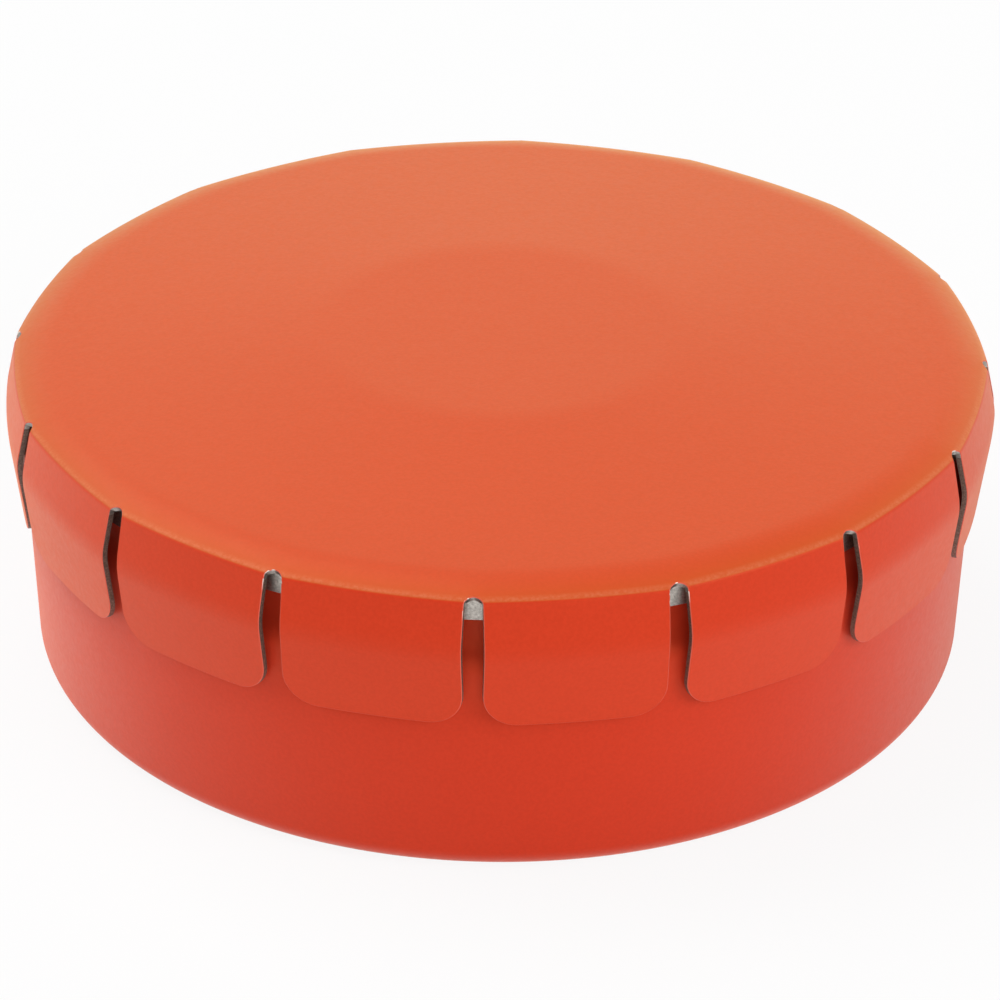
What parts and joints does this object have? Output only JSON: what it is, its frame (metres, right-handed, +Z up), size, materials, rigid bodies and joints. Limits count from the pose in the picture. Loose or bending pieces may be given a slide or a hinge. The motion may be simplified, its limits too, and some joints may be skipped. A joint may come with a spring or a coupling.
{
  "type": "click-lid tin",
  "caption": "Flat round tin: a drawn can with a one-sheet slotted lid, whose tabs swing outwards when the lid's domed middle is pressed, so that the lid lifts off.",
  "frame": {"origin": "centre of the plane that the can's standing ring rests on", "axes": "+Z up along the tin's axis, -Y towards the side seen in the picture, with slots of the lid on the X and Y axes"},
  "size_m": [0.045, 0.045, 0.015],
  "materials": {
    "can_lacquer": "satin red lacquer on tinplate, bare tin inside",
    "lid_lacquer": "satin red lacquer on tinplate, bare tin inside"
  },
  "bodies": {
    "can": {"base_can": "can_lacquer"},
    "lid": {"lid_shoulder": "lid_lacquer"},
    "press": {"press_disc": "lid_lacquer"},
    "dome": {"lid_dome": "lid_lacquer"},
    "tab_01": {"tab_01": "lid_lacquer"},
    "tab_02": {"tab_02": "lid_lacquer"},
    "tab_03": {"tab_03": "lid_lacquer"},
    "tab_04": {"tab_04": "lid_lacquer"},
    "tab_05": {"tab_05": "lid_lacquer"},
    "tab_06": {"tab_06": "lid_lacquer"},
    "tab_07": {"tab_07": "lid_lacquer"},
    "tab_08": {"tab_08": "lid_lacquer"},
    "tab_09": {"tab_09": "lid_lacquer"},
    "tab_10": {"tab_10": "lid_lacquer"},
    "tab_11": {"tab_11": "lid_lacquer"},
    "tab_12": {"tab_12": "lid_lacquer"},
    "tab_13": {"tab_13": "lid_lacquer"},
    "tab_14": {"tab_14": "lid_lacquer"},
    "tab_15": {"tab_15": "lid_lacquer"},
    "tab_16": {"tab_16": "lid_lacquer"}
  },
  "joints": [
    {"name": "lid_lift", "type": "slide", "parent": "can", "child": "lid", "axis": [0, 0, 1], "range_m": [0, 0.025]},
    {"name": "press_click", "type": "slide", "parent": "lid", "child": "press", "axis": [0, 0, -1], "range_m": [0, 0.00118]},
    {"name": "dome_follow", "type": "slide", "parent": "lid", "child": "dome", "axis": [0, 0, -1], "range_m": [0, 0.000587]},
    {"name": "tab_01_fold", "type": "hinge", "parent": "lid", "child": "tab_01", "pos_m": [0.02155, 0.00429, 0.01354], "axis": [0.1951, -0.9808, 0], "range_deg": [0, 6]},
    {"name": "tab_02_fold", "type": "hinge", "parent": "lid", "child": "tab_02", "pos_m": [0.01827, 0.01221, 0.01354], "axis": [0.5556, -0.8315, 0], "range_deg": [0, 6]},
    {"name": "tab_03_fold", "type": "hinge", "parent": "lid", "child": "tab_03", "pos_m": [0.01221, 0.01827, 0.01354], "axis": [0.8315, -0.5556, 0], "range_deg": [0, 6]},
    {"name": "tab_04_fold", "type": "hinge", "parent": "lid", "child": "tab_04", "pos_m": [0.00429, 0.02155, 0.01354], "axis": [0.9808, -0.1951, 0], "range_deg": [0, 6]},
    {"name": "tab_05_fold", "type": "hinge", "parent": "lid", "child": "tab_05", "pos_m": [-0.00429, 0.02155, 0.01354], "axis": [0.9808, 0.1951, 0], "range_deg": [0, 6]},
    {"name": "tab_06_fold", "type": "hinge", "parent": "lid", "child": "tab_06", "pos_m": [-0.01221, 0.01827, 0.01354], "axis": [0.8315, 0.5556, 0], "range_deg": [0, 6]},
    {"name": "tab_07_fold", "type": "hinge", "parent": "lid", "child": "tab_07", "pos_m": [-0.01827, 0.01221, 0.01354], "axis": [0.5556, 0.8315, 0], "range_deg": [0, 6]},
    {"name": "tab_08_fold", "type": "hinge", "parent": "lid", "child": "tab_08", "pos_m": [-0.02155, 0.00429, 0.01354], "axis": [0.1951, 0.9808, 0], "range_deg": [0, 6]},
    {"name": "tab_09_fold", "type": "hinge", "parent": "lid", "child": "tab_09", "pos_m": [-0.02155, -0.00429, 0.01354], "axis": [-0.1951, 0.9808, 0], "range_deg": [0, 6]},
    {"name": "tab_10_fold", "type": "hinge", "parent": "lid", "child": "tab_10", "pos_m": [-0.01827, -0.01221, 0.01354], "axis": [-0.5556, 0.8315, 0], "range_deg": [0, 6]},
    {"name": "tab_11_fold", "type": "hinge", "parent": "lid", "child": "tab_11", "pos_m": [-0.01221, -0.01827, 0.01354], "axis": [-0.8315, 0.5556, 0], "range_deg": [0, 6]},
    {"name": "tab_12_fold", "type": "hinge", "parent": "lid", "child": "tab_12", "pos_m": [-0.00429, -0.02155, 0.01354], "axis": [-0.9808, 0.1951, 0], "range_deg": [0, 6]},
    {"name": "tab_13_fold", "type": "hinge", "parent": "lid", "child": "tab_13", "pos_m": [0.00429, -0.02155, 0.01354], "axis": [-0.9808, -0.1951, 0], "range_deg": [0, 6]},
    {"name": "tab_14_fold", "type": "hinge", "parent": "lid", "child": "tab_14", "pos_m": [0.01221, -0.01827, 0.01354], "axis": [-0.8315, -0.5556, 0], "range_deg": [0, 6]},
    {"name": "tab_15_fold", "type": "hinge", "parent": "lid", "child": "tab_15", "pos_m": [0.01827, -0.01221, 0.01354], "axis": [-0.5556, -0.8315, 0], "range_deg": [0, 6]},
    {"name": "tab_16_fold", "type": "hinge", "parent": "lid", "child": "tab_16", "pos_m": [0.02155, -0.00429, 0.01354], "axis": [-0.1951, -0.9808, 0], "range_deg": [0, 6]}
  ],
  "couplings": [
    {"joint": "dome_follow", "follows": "press_click", "ratio": 0.5},
    {"joint": "tab_01_fold", "follows": "press_click", "rad_per_m": 89},
    {"joint": "tab_02_fold", "follows": "press_click", "rad_per_m": 89},
    {"joint": "tab_03_fold", "follows": "press_click", "rad_per_m": 89},
    {"joint": "tab_04_fold", "follows": "press_click", "rad_per_m": 89},
    {"joint": "tab_05_fold", "follows": "press_click", "rad_per_m": 89},
    {"joint": "tab_06_fold", "follows": "press_click", "rad_per_m": 89},
    {"joint": "tab_07_fold", "follows": "press_click", "rad_per_m": 89},
    {"joint": "tab_08_fold", "follows": "press_click", "rad_per_m": 89},
    {"joint": "tab_09_fold", "follows": "press_click", "rad_per_m": 89},
    {"joint": "tab_10_fold", "follows": "press_click", "rad_per_m": 89},
    {"joint": "tab_11_fold", "follows": "press_click", "rad_per_m": 89},
    {"joint": "tab_12_fold", "follows": "press_click", "rad_per_m": 89},
    {"joint": "tab_13_fold", "follows": "press_click", "rad_per_m": 89},
    {"joint": "tab_14_fold", "follows": "press_click", "rad_per_m": 89},
    {"joint": "tab_15_fold", "follows": "press_click", "rad_per_m": 89},
    {"joint": "tab_16_fold", "follows": "press_click", "rad_per_m": 89}
  ]
}
